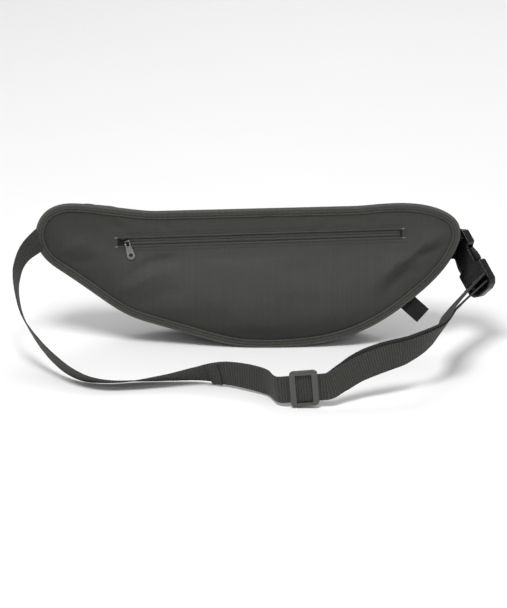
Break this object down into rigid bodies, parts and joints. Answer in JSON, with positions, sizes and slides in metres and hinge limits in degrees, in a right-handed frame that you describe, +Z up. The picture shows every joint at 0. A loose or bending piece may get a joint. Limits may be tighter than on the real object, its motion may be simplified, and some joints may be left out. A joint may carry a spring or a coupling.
{
  "type": "waist pack",
  "caption": "Soft waist pack with a curved back panel, a zipped back pocket, a zipped main compartment and a webbing belt with a side-release buckle and a tri-glide.",
  "frame": {"origin": "middle of the flattened underside that the pack stands on", "axes": "+Z up, +X along the pack towards the buckle, -Y out of the back panel that lies against the wearer"},
  "size_m": [0.4556, 0.2151, 0.1376],
  "materials": {
    "pack_cloth": "woven, matt",
    "lining_cloth": "thin woven, matt",
    "binding_tape": "ribbed tape",
    "zip_tape": "knitted tape",
    "zip_coil": "nylon coil",
    "dark_metal": "dark satin",
    "bright_metal": "satin",
    "belt_webbing": "ribbed webbing",
    "dark_webbing": "ribbed webbing",
    "grey_plastic": "fine matt",
    "buckle_plastic": "semi-gloss"
  },
  "bodies": {
    "pack": {"back_panel": "pack_cloth", "bottom_gusset": "pack_cloth", "buckle_socket": "buckle_plastic", "buckle_tab": "dark_webbing", "edge_binding": "binding_tape", "front_panel": "pack_cloth", "gusset_end_left": "pack_cloth", "gusset_end_right": "pack_cloth", "main_zip_coil_lower": "zip_coil", "main_zip_coil_upper": "zip_coil", "main_zip_stops": "dark_metal", "main_zip_tape_lower": "zip_tape", "main_zip_tape_upper": "zip_tape", "pocket_lining": "lining_cloth", "rear_zip_coil_lower": "zip_coil", "rear_zip_coil_upper": "zip_coil", "rear_zip_stops": "dark_metal", "rear_zip_tape_lower": "zip_tape", "rear_zip_tape_upper": "zip_tape", "side_tab": "dark_webbing", "strap_hem": "belt_webbing", "strap_main": "belt_webbing", "strap_return": "belt_webbing", "top_gusset": "pack_cloth"},
    "rear_slider": {"rear_zip_slider": "dark_metal"},
    "rear_pull": {"rear_zip_pull": "bright_metal"},
    "main_slider": {"main_zip_slider": "dark_metal"},
    "main_pull": {"main_zip_pull": "bright_metal"},
    "glide": {"tri_glide": "grey_plastic"},
    "plug": {"buckle_plug": "buckle_plastic", "strap_loop": "belt_webbing"},
    "prong_a": {"prong_a": "buckle_plastic"},
    "prong_b": {"prong_b": "buckle_plastic"}
  },
  "joints": [
    {"name": "rear_zip_slide", "type": "slide", "parent": "pack", "child": "rear_slider", "axis": [0.9995, 0.0057, 0.0321], "range_m": [0, 0.258]},
    {"name": "rear_pull_lift", "type": "hinge", "parent": "rear_slider", "child": "rear_pull", "pos_m": [-0.11494, -0.01384, 0.10089], "axis": [-0.9619, -0.0475, -0.2693], "range_deg": [0, 150]},
    {"name": "main_zip_slide", "type": "slide", "parent": "pack", "child": "main_slider", "axis": [-0.9997, -0.0044, -0.025], "range_m": [0, 0.16]},
    {"name": "main_pull_lift", "type": "hinge", "parent": "main_slider", "child": "main_pull", "pos_m": [0.08501, 0.01111, 0.12677], "axis": [0.9997, 0.0044, 0.025], "range_deg": [0, 150]},
    {"name": "glide_adjust", "type": "slide", "parent": "pack", "child": "glide", "axis": [0.9962, -0.0199, 0.0847], "range_m": [-0.006, 0.006]},
    {"name": "buckle_release", "type": "slide", "parent": "pack", "child": "plug", "axis": [0.4493, -0.5583, -0.6974], "range_m": [0, 0.032], "deforming": ["prong_a", "prong_b"]},
    {"name": "prong_squeeze_a", "type": "hinge", "parent": "plug", "child": "prong_a", "pos_m": [0.22164, -0.02206, 0.07764], "axis": [-0.7027, -0.7029, 0.1101], "range_deg": [0, 9], "stiffness_Nm_per_rad": 0.3},
    {"name": "prong_squeeze_b", "type": "hinge", "parent": "plug", "child": "prong_b", "pos_m": [0.21061, -0.01325, 0.06348], "axis": [0.7027, 0.7029, -0.1101], "range_deg": [0, 9], "stiffness_Nm_per_rad": 0.3}
  ],
  "couplings": [
    {"joint": "prong_squeeze_b", "follows": "prong_squeeze_a", "ratio": 1}
  ]
}
